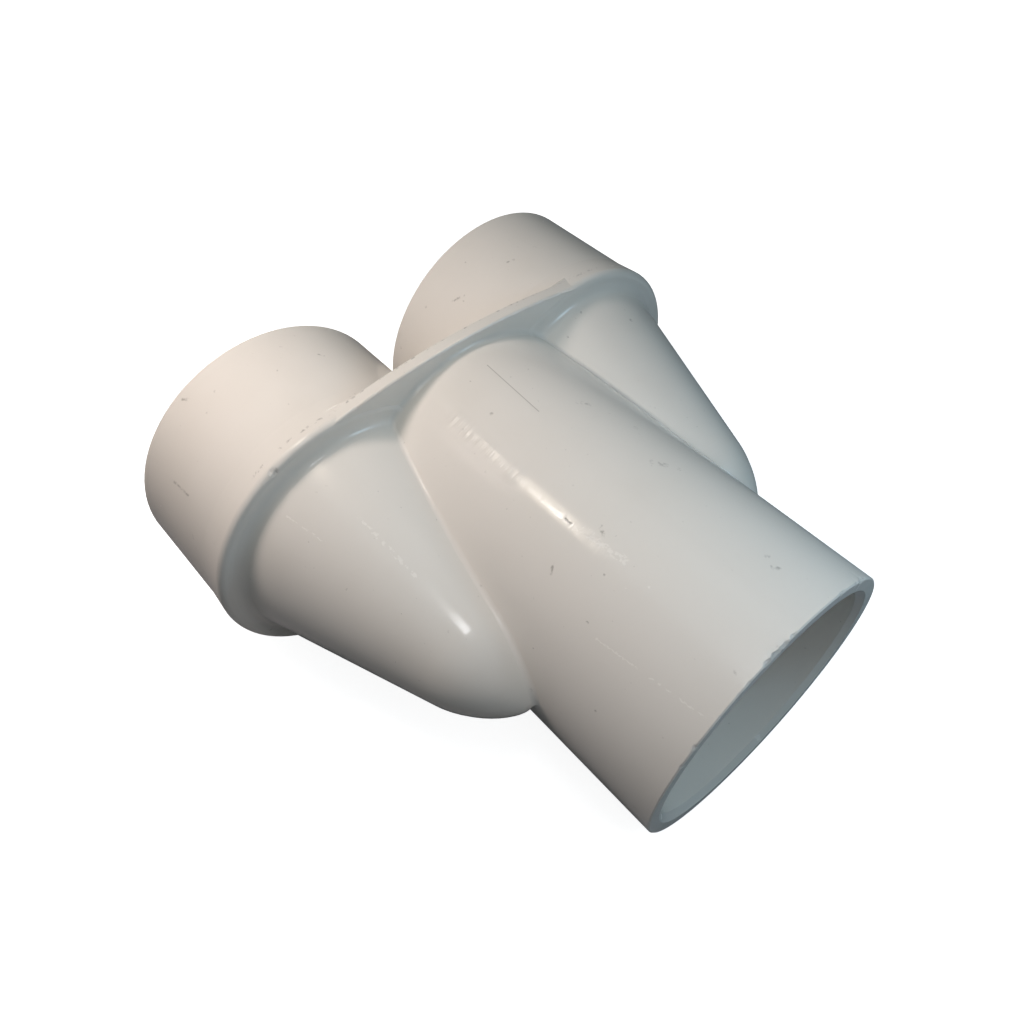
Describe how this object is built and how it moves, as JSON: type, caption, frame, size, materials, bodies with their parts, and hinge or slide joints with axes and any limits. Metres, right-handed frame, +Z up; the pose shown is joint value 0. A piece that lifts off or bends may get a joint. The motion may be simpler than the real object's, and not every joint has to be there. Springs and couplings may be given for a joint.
{
  "type": "parallel wye pipe fitting",
  "caption": "Rigid plastic parallel wye fitting, moulded in one piece: side-by-side sockets taper into one straight trunk.",
  "frame": {"origin": "middle of the footprint, on the surface that the fitting lies on", "axes": "+X along the trunk's axis, out of its mouth; +Y from the left socket to the right one, square to the trunk; +Z up, square to the plane of the three axes"},
  "size_m": [0.1144, 0.1246, 0.0662],
  "materials": {
    "moulded_pvc": "smooth off-white rigid PVC with a slightly scuffed gloss"
  },
  "bodies": {
    "root": {"wye_fitting": "moulded_pvc"}
  },
  "joints": []
}
